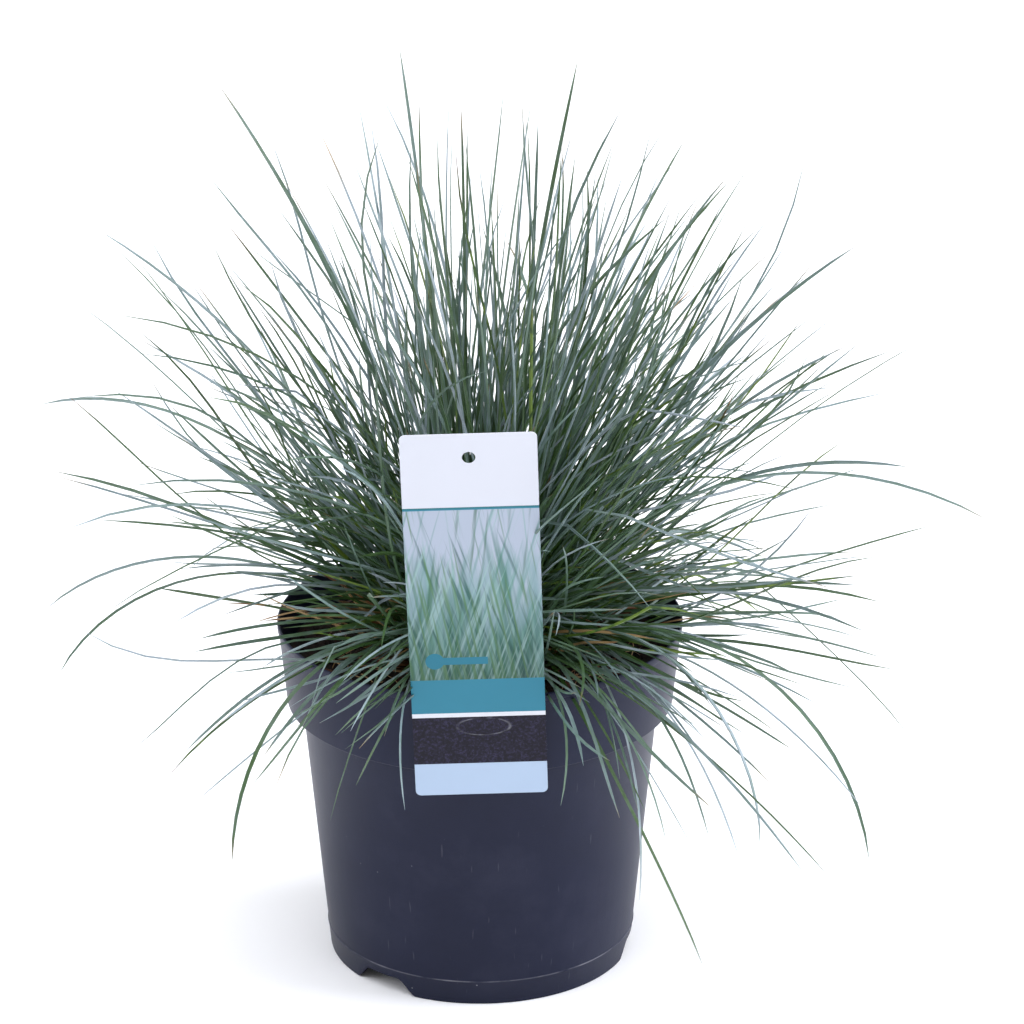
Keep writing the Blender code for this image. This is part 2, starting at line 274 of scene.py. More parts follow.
def potPlastic():
    # polypropylene with blue-black masterbatch, injection-moulded: an even satin skin with a fine grain,
    # faint flow streaks, dust, a few scratches and a painted highlight along the ridge
    made, tree, shader = startMaterial("mouldedPolypropylene", IOR=1.49, Specular_IOR_Level=0.14)
    place = addNode(tree, "TexCoord").outputs["Object"]
    height = addNode(tree, "SeparateXYZ", {0: place}).outputs["Z"]
    clouds = addNode(tree, "TexNoise", {"Vector": place, "Scale": 22, "Detail": 5, "Roughness": 0.6})  # 45 mm
    skin = setRamp(addNode(tree, "ValToRGB", {"Fac": clouds.outputs["Fac"]}),
                   [(0.3, "#181C2F"), (0.7, "#1D2135")])
    low = addNode(tree, "MapRange", {"Value": height, "From Min": 0.11, "From Max": 0.0})
    specks = addNode(tree, "TexVoronoi", {"Vector": place, "Scale": 130, "Randomness": 1})  # one in 8 mm
    speck = addNode(tree, "MapRange", {"Value": specks.outputs["Distance"], "From Min": 0.055,
                                       "From Max": 0.03})
    chosen = addNode(tree, "SeparateXYZ", {0: specks.outputs["Color"]})
    chosen = addNode(tree, "Math", {0: chosen.outputs["X"], 1: 0.72}, operation="GREATER_THAN")
    speck = addNode(tree, "Math", {0: speck.outputs[0], 1: chosen.outputs[0]}, operation="MULTIPLY")
    film = addNode(tree, "MapRange", {"Value": clouds.outputs["Fac"], "From Min": 0.5, "From Max": 0.75,
                                      "To Max": 0.02})
    # painted highlight: a pale stripe along the ridge at the foot, where it would catch light from above,
    # broken up by noise
    away = addNode(tree, "Math", {0: height, 1: (pot["ridge"] + 0.2) * mm}, operation="SUBTRACT")
    away = addNode(tree, "Math", {0: away.outputs[0]}, operation="ABSOLUTE")
    ridgeHighlight = addNode(tree, "MapRange", {"Value": away.outputs[0], "From Min": 0.0004, "From Max": 0.0001})
    broken = addNode(tree, "TexNoise", {"Vector": place, "Scale": 60, "Detail": 4})
    ridgeHighlightBreaks = addNode(tree, "MapRange", {"Value": broken.outputs["Fac"], "From Min": 0.38, "From Max": 0.7,
                                      "To Max": 0.5})
    ridgeHighlight = addNode(tree, "Math", {0: ridgeHighlight.outputs[0], 1: ridgeHighlightBreaks.outputs[0]}, operation="MULTIPLY")
    slant = addNode(tree, "Mapping", {"Vector": place, "Rotation": (0, 0.6, 0.3), "Scale": (900, 900, 22)})
    scratch = addNode(tree, "TexNoise", {"Vector": slant.outputs[0], "Scale": 1, "Detail": 0})
    scratch = addNode(tree, "MapRange", {"Value": scratch.outputs["Fac"], "From Min": 0.82, "From Max": 0.88,
                                         "To Max": 0.06})
    # the pale colour sums dust specks near the bottom, film, scratches and the painted ridge highlight
    marksAndRidgeHighlight = addNode(tree, "Math", {0: speck.outputs[0], 1: low.outputs[0]}, operation="MULTIPLY")
    marksAndRidgeHighlight = addNode(tree, "Math", {0: marksAndRidgeHighlight.outputs[0], 1: 0.55}, operation="MULTIPLY")
    for part in (film, ridgeHighlight, scratch):
        marksAndRidgeHighlight = addNode(tree, "Math", {0: marksAndRidgeHighlight.outputs[0], 1: part.outputs[0]}, operation="ADD",
                       use_clamp=True)
    whole = addNode(tree, "Mix", {0: marksAndRidgeHighlight.outputs[0], 6: skin, 7: colour("#9A9AA2")}, data_type="RGBA")
    tree.links.new(whole.outputs[2], shader.inputs["Base Color"])
    rough = addNode(tree, "MapRange", {"Value": clouds.outputs["Fac"], "To Min": 0.36, "To Max": 0.48})
    rough = addNode(tree, "Math", {0: rough.outputs[0], 1: marksAndRidgeHighlight.outputs[0]}, operation="ADD", use_clamp=True)
    tree.links.new(rough.outputs[0], shader.inputs["Roughness"])
    grain = addNode(tree, "TexNoise", {"Vector": place, "Scale": 1600, "Detail": 2})  # 0.6 mm mould grain
    flow = addNode(tree, "Mapping", {"Vector": place, "Scale": (1, 1, 0.12)})
    streaks = addNode(tree, "TexNoise", {"Vector": flow.outputs[0], "Scale": 160, "Detail": 3})  # 6 mm apart
    relief = addNode(tree, "Bump", {"Height": grain.outputs["Fac"], "Strength": 0.12, "Distance": 0.0003})
    relief = addNode(tree, "Bump", {"Height": streaks.outputs["Fac"], "Strength": 0.1, "Distance": 0.0006,
                                    "Normal": relief.outputs[0]})
    tree.links.new(relief.outputs[0], shader.inputs["Normal"])
    return made


def buildPot():
    bm = turned(potProfile(), pot["sides"])
    mesh = bpy.data.meshes.new("pot_rough")
    bm.to_mesh(mesh)
    bm.free()
    blank = bpy.data.objects.new("pot_rough", mesh)
    bpy.context.scene.collection.objects.link(blank)
    cutter = potCutter()
    cut = blank.modifiers.new("cut", "BOOLEAN")
    cut.operation = "DIFFERENCE"
    cut.object = cutter
    bpy.context.view_layer.update()
    shaped = bpy.data.meshes.new_from_object(blank.evaluated_get(bpy.context.evaluated_depsgraph_get()))
    bpy.data.objects.remove(blank)
    bpy.data.objects.remove(cutter)
    bm = bmesh.new()
    bm.from_mesh(shaped)
    finishPiece("nursery_pot", bm, potPlastic(), ["pot"], sharp=35)


buildPot()
print("pot ready")


# Soil: moist peat with coir, and the crumbs that lie on it

soil = dict(
    sides=120, rings=30, edge=149.5, middle=154, gap=0.5, seed=3, level=46, fall=44, lump=16, lumpHeight=1.6,
    crumbs=dict(count=900, size=(0.6, 3.2), ring=(31, 89), tall=(0.5, 0.9)),
    chips=dict(count=26, size=(2.2, 5.5), ring=(50, 84), tall=(0.3, 0.6)),
    bigChip=dict(azimuth=-66, radius=79, size=7.5),
    fibres=dict(count=170, length=(10, 38), width=0.55, ring=(42, 76), above=0.7, reach=87),
)


def soilHeight(x, y):
    # millimetres above the ground, lumpy
    radius = math.hypot(x, y)
    share = min(max((radius - soil["level"]) / soil["fall"], 0), 1)
    slope = soil["middle"] - (soil["middle"] - soil["edge"]) * share * share * (3 - 2 * share)
    lumps = noise.fractal(Vector((x / soil["lump"], y / soil["lump"], 4)), 0.8, 2, 4) * soil["lumpHeight"]
    return slope - 0.8 + max(min(lumps, 1.2), -2.2)


def peat():
    # sphagnum peat and coir: almost black when moist, with red-brown fibre
    made, tree, shader = startMaterial("moistPeat", Roughness=0.92, Specular_IOR_Level=0.25)
    place = addNode(tree, "TexCoord").outputs["Object"]
    lumps = addNode(tree, "TexNoise", {"Vector": place, "Scale": 130, "Detail": 6, "Roughness": 0.7})  # 8 mm
    fine = addNode(tree, "TexNoise", {"Vector": place, "Scale": 900, "Detail": 4, "Roughness": 0.7})
    blend = addNode(tree, "Math", {0: lumps.outputs["Fac"], 1: fine.outputs["Fac"]}, operation="MULTIPLY")
    ramp = addNode(tree, "ValToRGB", {"Fac": blend.outputs[0]})
    base = setRamp(ramp, [(0.14, "#0C0907"), (0.25, "#1B130F"), (0.36, "#35231A"), (0.5, "#5A3C2B")])
    tree.links.new(base, shader.inputs["Base Color"])
    relief = addNode(tree, "Bump", {"Height": blend.outputs[0], "Strength": 0.9, "Distance": 0.0015})
    tree.links.new(relief.outputs[0], shader.inputs["Normal"])
    return made


def buildSoil(made):
    band = pot["height"] - pot["bandHeight"]
    inset = pot["wall"] + soil["gap"]
    low = pot["floor"] + inset
    profile = [(90.2 * i / soil["rings"], 150) for i in range(soil["rings"] + 1)]
    profile += [(pot["bandFoot"] - inset, band + 3.6), (pot["bandFoot"] - inset - 0.8, band + 2.4)]
    profile += [(pot["wallTop"] - inset, band + 1.2), (wallRadius(band - 4) - inset, band - 4)]
    profile += [(wallRadius(low) - inset, low + 2), (wallRadius(low) - inset - 2, low), (0, low)]
    bm = turned(profile, soil["sides"])
    for v in bm.verts:
        if v.co.z > 149.9 * mm:
            v.co.z = soilHeight(v.co.x / mm, v.co.y / mm) * mm
    finishPiece("peat_plug", bm, made, ["soil"])


def bark():
    # composted bark: flat broken chips, red-brown with darker layers
    made, tree, shader = startMaterial("compostedBark", Roughness=0.85, Specular_IOR_Level=0.25)
    place = addNode(tree, "TexCoord").outputs["Object"]
    layers = addNode(tree, "TexNoise", {"Vector": place, "Scale": 420, "Detail": 5,
                                        "Roughness": 0.65})  # 2.4 mm
    base = setRamp(addNode(tree, "ValToRGB", {"Fac": layers.outputs["Fac"]}),
                   [(0.3, "#26130C"), (0.5, "#4C2A1C"), (0.72, "#74472F")])
    tree.links.new(base, shader.inputs["Base Color"])
    relief = addNode(tree, "Bump", {"Height": layers.outputs["Fac"], "Strength": 0.8, "Distance": 0.001})
    tree.links.new(relief.outputs[0], shader.inputs["Normal"])
    return made


def addLump(bm, draw, number, place, size, tall):
    # a broken piece: a small ball stretched, knocked out of round and turned
    lump = bmesh.ops.create_icosphere(bm, subdivisions=1, radius=size * mm)["verts"]
    bmesh.ops.scale(bm, verts=lump, vec=(draw.uniform(0.7, 1.5), draw.uniform(0.6, 1.1), draw.uniform(*tall)))
    for v in lump:
        v.co *= 1 + 0.35 * noise.noise(v.co / mm * 0.9 / size + Vector((number, 0, 0)))
    bmesh.ops.rotate(bm, verts=lump, matrix=Matrix.Rotation(draw.uniform(0, 6), 3, "Z"))
    low = soilHeight(place.x, place.y) + size * 0.2
    bmesh.ops.translate(bm, verts=lump, vec=Vector((place.x, place.y, low)) * mm)


def buildLumps(name, made, kind, extra=()):
    draw = random.Random(soil["seed"])
    bm = bmesh.new()
    inner, outer = kind["ring"]
    for number in range(kind["count"]):
        low, high = kind["size"]
        size = low + (high - low) * draw.random() ** 3
        radius = math.sqrt(draw.uniform(inner ** 2, (outer - size * 1.5) ** 2))
        angle = draw.uniform(0, 2 * math.pi)
        place = Vector((radius * math.cos(angle), radius * math.sin(angle), 0))
        addLump(bm, draw, number, place, size, kind["tall"])
    for chip in extra:
        turn = math.radians(chip["azimuth"])
        place = Vector((math.sin(turn), -math.cos(turn), 0)) * chip["radius"]
        addLump(bm, draw, 0, place, chip["size"], (0.45, 0.5))
    finishPiece(name, bm, made)


peatMaterial = peat()
buildSoil(peatMaterial)
buildLumps("peat_crumbs", peatMaterial, soil["crumbs"])
buildLumps("bark_chips", bark(), soil["chips"], [soil["bigChip"]])
print("soil ready")


# Grass: every blade is a folded, tapered strip on a curved path, and blades fan out of shared shoots

blade = dict(
    rings=11, longRings=18, middleRing=6, width=1.26, fold=0.48, sway=24, wave=5.5, brokenShare=0.035,
    tones=[(0.2, 0.1), (0.42, 0.13), (0.5, 0.13), (0.56, 0.13), (0.84, 0.08)],  # middle and spread of each
)
tuft = dict(
    seed=21, crownRadius=44, crownLevel=154, crownRise=10, base=160, tilt=5, scatter=48, fan=24, shoot=2.5,
    zones=[
        dict(shoots=42, blades=7, lean=(0, 22), spread=19, length=(90, 262), more=1.45,
             droop=(12, 22), bend=1.2),
        dict(shoots=56, blades=7, lean=(16, 42), spread=22, length=(90, 252), more=1.25,
             droop=(15, 24), bend=1.2),
        dict(shoots=43, blades=7, lean=(34, 60), spread=22, length=(90, 226), more=1.4,
             droop=(14, 24), bend=1.1),
        dict(shoots=13, blades=6, lean=(56, 76), spread=16, length=(80, 190), more=1.4,
             droop=(12, 20), bend=0.8),
        dict(shoots=24, blades=5, lean=(40, 54), spread=11, length=(110, 190), more=1.2,
             droop=(58, 9), bend=0.35),
        dict(shoots=84, blades=8, lean=(4, 60), spread=28, length=(42, 116), more=1.0,
             droop=(14, 24), bend=1, greener=0.27),
        dict(shoots=9, blades=7, azimuth=(70, 115), lean=(14, 26), spread=9, length=(140, 240), more=1,
             droop=(12, 16), bend=1.1),
        dict(shoots=3, blades=6, azimuth=(-112, -80), lean=(50, 60), spread=7, length=(170, 235), more=1,
             droop=(6, 10), bend=1),
        dict(shoots=7, blades=7, azimuth=(58, 100), lean=(48, 60), spread=9, length=(90, 180), more=1,
             droop=(46, 11), bend=0.4, greener=0.08),
    ],
    hanging=[
        dict(azimuth=(-46, -22), count=8, lean=(48, 62), droop=(62, 92), length=(135, 190), bend=0.45),
        dict(azimuth=(14, 54), count=16, lean=(48, 62), droop=(60, 92), length=(145, 228), bend=0.45),
        dict(azimuth=(125, 235), count=12, lean=(46, 60), droop=(60, 90), length=(140, 190), bend=0.6),
    ],
    thinSides=[
        dict(azimuth=(-96, -46), lean=(50, 90), kept=0.2),  # an open place on the left, where the soil shows
        dict(azimuth=(-135, -50), lean=(34, 90), kept=0.6),
        dict(azimuth=(50, 130), lean=(34, 60), kept=0.5),
    ],
)
deadLeaves = dict(seed=5, count=96, lean=(46, 84), length=(32, 100), droop=(0, 60), width=1.15)
sheaths = dict(seed=8, count=460, length=(12, 36), width=2.1, level=153.2)
longStart = dict(radius=42, level=158, rise=14, width=1.75)
clear = dict(
    ground=1, soil=0.5, inside=88, wall=(86, 97), rimTop=168.2, low=148,
    labelSide=31.5, labelFoot=-3, labelEnd=14, labelBack=1.5,
)  # the room that the tuft's and the dead blades keep, in millimetres
longBlades = {
    "long_blade_01": (270, 5, 2, 272), "long_blade_02": (260, 14, 20, 270),
    "long_blade_03": (96, 5, 7, 266), "long_blade_04": (122, 14, 25, 234),
    "long_blade_05": (58, 16, 22, 260), "long_blade_06": (84, 26, 28, 238),
    "long_blade_07": (47, 36, 65, 307), "long_blade_08": (75, 35, 60, 203),
    "long_blade_09": (52, 58, 114, 225), "long_blade_10": (41, 53, 127, 197),
    "long_blade_11": (322.5, 57, 123, 185), "long_blade_12": (280.5, 50, 101, 184),
    "long_blade_13": (262.5, 58, 75, 180), "long_blade_14": (231.5, 53, 60, 257),
    "long_blade_15": (280, 24, 30, 250), "long_blade_16": (190, 42, 58, 196),
}  # azimuth from the front, lean, droop in degrees, length in millimetres
labelCard = dict(foot=(0.7, -89.707, 116.9), lean=10, roll=1.75, width=60, length=190, thick=0.5)
bladeLayers = ("along", "across", "tone", "dry")


def outward(azimuth):
    turn = math.radians(azimuth)
    return Vector((math.sin(turn), -math.cos(turn), 0))


def bladeTemplate(rings):
    # a unit blade along Z with a folded section; its layers hold what the leaf material follows
    bm = bmesh.new()
    section = bmesh.ops.create_circle(bm, cap_ends=True, segments=4, radius=0.5)["verts"]
    for v, place in zip(section, [(-0.5, 0.5), (0, -0.1), (0.5, 0.5), (0, 0.35)]):
        v.co = Vector((place[0], place[1], 0))
    end = bm.faces[:]
    for ring in range(rings):
        grown = bmesh.ops.extrude_face_region(bm, geom=end)["geom"]
        end = [f for f in grown if isinstance(f, bmesh.types.BMFace)]
        moved = [v for v in grown if isinstance(v, bmesh.types.BMVert)]
        bmesh.ops.translate(bm, verts=moved, vec=(0, 0, 1 / rings))
    bmesh.ops.recalc_face_normals(bm, faces=bm.faces)
    for name in bladeLayers:
        bm.verts.layers.float.new(name)
    for v in bm.verts:
        v[bm.verts.layers.float["along"]] = v.co.z
        v[bm.verts.layers.float["across"]] = v.co.x
    mesh = bpy.data.meshes.new("bladeTemplate")
    bm.to_mesh(mesh)
    bm.free()
    return mesh, rings


def bladeWidth(share):
    # narrow where it leaves its sheath, near full width for most of the way, then a short point
    return (0.6 + 0.4 * min(share / 0.16, 1)) * max(1 - share ** 12, 0) ** 0.75 + 0.08


def cadStart(lean):
    # where the long single blades leave the dome, as radius and height
    place = math.radians(min(lean * 1.25 + 4, 84))
    return longStart["radius"] * math.sin(place), longStart["level"] + longStart["rise"] * math.cos(place)


def bladeRings(plan, count=blade["rings"]):
    # centre, side and up vectors at each ring, in millimetres
    fine = 4
    step = plan["length"] / (count * fine)
    centre = plan["start"].copy()
    rings = []
    for number in range(count * fine + 1):
        share = number / (count * fine)
        bent = plan["droop"] * share ** plan.get("bend", 1.25)
        bent += plan.get("wave", 0) * math.sin(6.5 * share + plan.get("phase", 0))
        bent += plan.get("kink", 0) if share > plan.get("kinkAt", 1) else 0
        angle = math.radians(plan["lean"] + bent)
        out = outward(plan["azimuth"] + plan["sway"] * share)
        along = out * math.sin(angle) + Vector((0, 0, math.cos(angle)))
        if number % fine == 0:
            turn = Matrix.Rotation(math.radians(plan["twist"] * share + plan["face"]), 3, along)
            side = turn @ Vector((-out.y, out.x, 0))
            rings.append((centre.copy(), side, along.cross(side)))
        centre += along * step
    return rings


def addBlade(bm, template, plan):
    mesh, count = template
    rings = bladeRings(plan, count)
    before = len(bm.verts)
    bm.from_mesh(mesh)
    bm.verts.ensure_lookup_table()
    tone = bm.verts.layers.float["tone"]
    dry = bm.verts.layers.float["dry"]
    for v in bm.verts[before:]:
        share = v.co.z
        centre, side, up = rings[round(share * count)]
        wide = plan["width"] * bladeWidth(share)
        v.co = (centre + side * v.co.x * wide + up * v.co.y * wide * blade["fold"] * 2) * mm
        v[tone] = plan["tone"]
        v[dry] = plan["dry"]


def startBlades():
    bm = bmesh.new()
    for name in bladeLayers:
        bm.verts.layers.float.new(name)
    return bm


labelTurn = (Matrix.Rotation(math.radians(labelCard["lean"]), 3, "X")
             @ Matrix.Rotation(math.radians(-labelCard["roll"]), 3, "Y"))


def blocked(rings):
    # True where a blade would run through the pot's wall, the soil or the label, or leave the model's box
    low, high = cadBox
    for centre, side, up in rings[1:]:
        radius = math.hypot(centre.x, centre.y)
        if centre.z < clear["ground"] or any(not low[i] < centre[i] * mm < high[i] for i in range(3)):
            return True
        if radius < clear["inside"] and centre.z < soilHeight(centre.x, centre.y) + clear["soil"]:
            return True
        if clear["wall"][0] < radius < clear["wall"][1] and centre.z < clear["rimTop"]:
            return True
        if radius < clear["wall"][0] and centre.z < clear["low"]:
            return True
        local = labelTurn.inverted() @ (centre - Vector(labelCard["foot"]))
        beside = abs(local.x) < clear["labelSide"] and local.y < clear["labelBack"]
        if beside and clear["labelFoot"] < local.z < labelCard["length"] + clear["labelEnd"]:
            return True
    return False


def leafMaterial():
    # living fescue leaf: folded, with waxy blue bloom over green, satin, with fine lengthwise ribs
    made, tree, shader = startMaterial("waxyFescueLeaf", IOR=1.45, Specular_IOR_Level=0.6)
    tone, along, across, dry = [addNode(tree, "Attribute", attribute_name=name).outputs["Fac"]
                                for name in ("tone", "along", "across", "dry")]
    place = addNode(tree, "TexCoord").outputs["Object"]
    patches = addNode(tree, "TexNoise", {"Vector": place, "Scale": 90, "Detail": 3})  # 11 mm changes in bloom
    shifted = addNode(tree, "MapRange", {"Value": patches.outputs["Fac"], "From Min": 0.25, "From Max": 0.75,
                                         "To Min": -0.12, "To Max": 0.12})
    shifted = addNode(tree, "Math", {0: tone, 1: shifted.outputs[0]}, operation="ADD", use_clamp=True)
    bloom = setRamp(addNode(tree, "ValToRGB", {"Fac": shifted.outputs[0]}),
                    [(0.0, "#5E7422"), (0.05, "#2A4515"), (0.25, "#3B5530"), (0.5, "#576D62"),
                     (0.75, "#75888B"), (1.0, "#A0ABB4")])
    rubbed = addNode(tree, "CombineXYZ")
    for axis, (value, times) in enumerate([(across, 5.0), (along, 9.0), (tone, 90.0)]):
        stretched = addNode(tree, "Math", {0: value, 1: times}, operation="MULTIPLY")
        tree.links.new(stretched.outputs[0], rubbed.inputs[axis])
    streaks = addNode(tree, "TexNoise", {"Vector": rubbed.outputs[0], "Scale": 1, "Detail": 3})
    bare = addNode(tree, "MapRange", {"Value": streaks.outputs["Fac"], "From Min": 0.5, "From Max": 0.68,
                                      "To Max": 0.55})
    living = addNode(tree, "Mix", {0: bare.outputs[0], 6: bloom, 7: colour("#48682F")}, data_type="RGBA")
    # partly painted shade: each blade turns a darker green towards the soil, standing in for the shade among
    # the crowded leaf bases; the greener base itself is the leaf's own colour
    foot = addNode(tree, "MapRange", {"Value": along, "From Min": 0.0, "From Max": 0.62, "To Min": 1.0,
                                      "To Max": 0.0})
    living = addNode(tree, "Mix", {0: foot.outputs[0], 6: living.outputs[2], 7: colour("#355A10")},
                     data_type="RGBA")
    start = addNode(tree, "Math", {0: dry, 1: -1.15, 2: 1.03}, operation="MULTIPLY_ADD")
    past = addNode(tree, "Math", {0: along, 1: start.outputs[0]}, operation="SUBTRACT")
    dried = addNode(tree, "MapRange", {"Value": past.outputs[0], "From Max": 0.1})  # dries from the tip down
    hay = addNode(tree, "Math", {0: patches.outputs["Fac"], 1: tone}, operation="ADD")
    straw = setRamp(addNode(tree, "ValToRGB", {"Fac": hay.outputs[0]}),
                    [(0.45, "#3F2818"), (0.75, "#6E4A2C"), (1.0, "#9C7F55")])
    whole = addNode(tree, "Mix", {0: dried.outputs[0], 6: living.outputs[2], 7: straw}, data_type="RGBA")
    tree.links.new(whole.outputs[2], shader.inputs["Base Color"])
    rough = addNode(tree, "MapRange", {"Value": streaks.outputs["Fac"], "To Min": 0.48, "To Max": 0.3})
    tree.links.new(rough.outputs[0], shader.inputs["Roughness"])
    ribs = addNode(tree, "Math", {0: across, 1: 38.0}, operation="MULTIPLY")  # six ribs across a blade
    ribs = addNode(tree, "Math", {0: ribs.outputs[0]}, operation="SINE")
    relief = addNode(tree, "Bump", {"Height": ribs.outputs[0], "Strength": 0.3, "Distance": 0.0001})
    tree.links.new(relief.outputs[0], shader.inputs["Normal"])
    return made


def crownPoint(azimuth, lean, draw):
    # steeper shoots stand nearer the middle of the crown
    radius = tuft["crownRadius"] * min((0.3 + 0.7 * (lean / 74) ** 0.7) * draw.uniform(0.1, 1.15), 1)
    start = outward(azimuth + draw.gauss(0, tuft["scatter"])) * radius
    start.z = tuft["crownLevel"] + tuft["crownRise"] * (1 - (radius / tuft["crownRadius"]) ** 2)
    return start


def fanned(azimuth, lean, spread, draw):
    # a direction near the shoot's own, turned about a random axis, as azimuth and lean
    turn = math.radians(lean)
    along = outward(azimuth) * math.sin(turn) + Vector((0, 0, math.cos(turn)))
    axis = along.orthogonal().normalized()
    axis = Matrix.Rotation(draw.uniform(0, 2 * math.pi), 3, along) @ axis
    along = Matrix.Rotation(math.radians(draw.gauss(0, spread)), 3, axis) @ along
    along = (along + Vector((math.sin(math.radians(tuft["tilt"])), 0, 0))).normalized()
    return math.degrees(math.atan2(along.x, -along.y)), math.degrees(math.acos(along.z))


def looks(draw, greener=0):
    # width, colour, twist and small bends of one blade
    tone = draw.gauss(*draw.choice(blade["tones"]))
    driedTips = [draw.uniform(0.03, 0.12), draw.uniform(0.03, 0.12), draw.uniform(0, 0.4) ** 2]
    dry = draw.choice([0, 0, 0, 0, 0, *driedTips])
    broken = draw.random() < blade["brokenShare"]
    return dict(sway=draw.gauss(0, blade["sway"]), twist=draw.uniform(-120, 120), face=draw.uniform(-60, 60),
                wave=draw.gauss(0, blade["wave"]), phase=draw.uniform(0, 6),
                kink=draw.uniform(20, 60) if broken else 0,
                kinkAt=draw.uniform(0.4, 0.85), width=blade["width"] * draw.uniform(0.68, 1.3),
                tone=min(max(tone - greener, 0), 1), dry=dry)


def sparse(plan, draw):
    # True where a blade is left out because it is on a thin side of the clump
    turn = (plan["azimuth"] + 180) % 360 - 180
    for side in tuft["thinSides"]:
        first, last = side["azimuth"]
        steep, flat = side["lean"]
        if first < turn < last and steep < plan["lean"] < flat and draw.random() > side["kept"]:
            return True
    return False


def zoneBlades(zone, draw):
    # plans for the blades of one zone, shoot by shoot
    plans = []
    for shoot in range(zone["shoots"]):
        azimuth = draw.uniform(*zone.get("azimuth", (0, 360)))
        lean = draw.uniform(*zone["lean"])
        start = crownPoint(azimuth, lean, draw)
        heading = azimuth + draw.gauss(0, tuft["fan"])
        placed = 0
        tries = 0
        while placed < zone["blades"] and tries < 60:
            tries += 1
            facing, leant = fanned(heading, lean, zone["spread"], draw)
            low, high = zone["length"]
            length = low + (high - low) * draw.random() ** zone["more"]
            aside = Vector([draw.uniform(-tuft["shoot"], tuft["shoot"]) for axis in range(2)] + [0])
            droop = draw.gauss(*zone["droop"]) * (0.5 + 0.5 * length / high)
            plan = dict(start=start + aside, azimuth=facing, lean=leant, droop=droop, length=length,
                        bend=zone["bend"], **looks(draw, zone.get("greener", 0)))
            if blocked(bladeRings(plan)):
                continue
            placed += 1
            if not sparse(plan, draw):
                plans.append(plan)
    return plans


def hangingBlades(group, draw):
    # blades that arch up, over the rim and down outside the pot
    plans = []
    while len(plans) < group["count"]:
        azimuth = draw.uniform(*group["azimuth"])
        lean = draw.uniform(*group["lean"])
        plan = dict(start=crownPoint(azimuth, lean, draw), azimuth=azimuth + draw.gauss(0, 6), lean=lean,
                    droop=draw.uniform(*group["droop"]), length=draw.uniform(*group["length"]),
                    bend=group["bend"])
        plan.update(looks(draw), kink=0, wave=draw.gauss(0, 1.5))
        if not blocked(bladeRings(plan, blade["longRings"])):
            plans.append(plan)
    return plans


def buildGrass(made, template, longTemplate):
    draw = random.Random(tuft["seed"])
    base = Vector((0, 0, tuft["base"] * mm))
    aims = {}
    for name in sorted(nodes):
        if name.startswith("leaf_spray"):
            low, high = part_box(name)
            aims[name] = ((low + high) / 2 - base).normalized()
    groups = {name: startBlades() for name in aims}
    domed = [plan for zone in tuft["zones"] for plan in zoneBlades(zone, draw)]
    hung = [plan for group in tuft["hanging"] for plan in hangingBlades(group, draw)]
    for shape, plans in [(template, domed), (longTemplate, hung)]:
        for plan in plans:
            middle = (bladeRings(plan)[blade["middleRing"]][0] * mm - base).normalized()
            nearest = max(aims, key=lambda name: aims[name].dot(middle))
            addBlade(groups[nearest], shape, plan)
        print("blades placed:", len(plans))
    for name, bm in groups.items():
        finishPiece("blades_" + name[-2:], bm, made, [name], sharp=50)
    for name, (azimuth, lean, droop, length) in longBlades.items():
        radius, height = cadStart(lean)
        start = outward(azimuth) * radius
        start.z = height
        bm = startBlades()
        addBlade(bm, longTemplate, dict(start=start, azimuth=azimuth, lean=lean, droop=droop, length=length,
                                        sway=0, twist=draw.uniform(-90, 90), face=draw.uniform(-40, 40),
                                        width=longStart["width"], tone=draw.uniform(0.3, 0.85),
                                        dry=draw.choice([0, 0.05, 0.08])))
        finishPiece("single_" + name[-2:], bm, made, [name], sharp=50)


def buildDeadLeaves(made, template):
    draw = random.Random(deadLeaves["seed"])
    bm = startBlades()
    placed = 0
    while placed < deadLeaves["count"]:
        azimuth = draw.uniform(0, 360)
        lean = draw.uniform(*deadLeaves["lean"])
        plan = dict(start=crownPoint(azimuth, lean, draw), azimuth=azimuth, lean=lean, bend=0.8,
                    length=draw.uniform(*deadLeaves["length"]), droop=draw.uniform(*deadLeaves["droop"]))
        plan.update(looks(draw), sway=draw.gauss(0, 60), dry=draw.uniform(0.8, 1),
                    width=deadLeaves["width"] * draw.uniform(0.6, 1.2))
        if not blocked(bladeRings(plan)):
            addBlade(bm, template, plan)
            placed += 1
    finishPiece("dead_leaves", bm, made, sharp=50)


def buildSheaths(made, template):
    draw = random.Random(sheaths["seed"])
    bm = startBlades()
    for number in range(sheaths["count"]):
        radius = (tuft["crownRadius"] + 2) * math.sqrt(draw.random())
        azimuth = draw.uniform(0, 360)
        start = outward(azimuth) * radius
        start.z = sheaths["level"]
        addBlade(bm, template, dict(start=start, azimuth=azimuth + draw.uniform(-20, 20),
                                    lean=radius * 1.3 + draw.uniform(-8, 8), droop=draw.uniform(-10, 20),
                                    length=draw.uniform(*sheaths["length"]), sway=draw.uniform(-25, 25),
                                    twist=draw.uniform(-60, 60), face=draw.uniform(-40, 40),
                                    width=sheaths["width"] * draw.uniform(0.7, 1.2),
                                    tone=draw.uniform(0, 0.5), dry=draw.choice([0, 0.3, 0.8, 1])))
    finishPiece("crown_sheaths", bm, made, ["crown"], sharp=50)


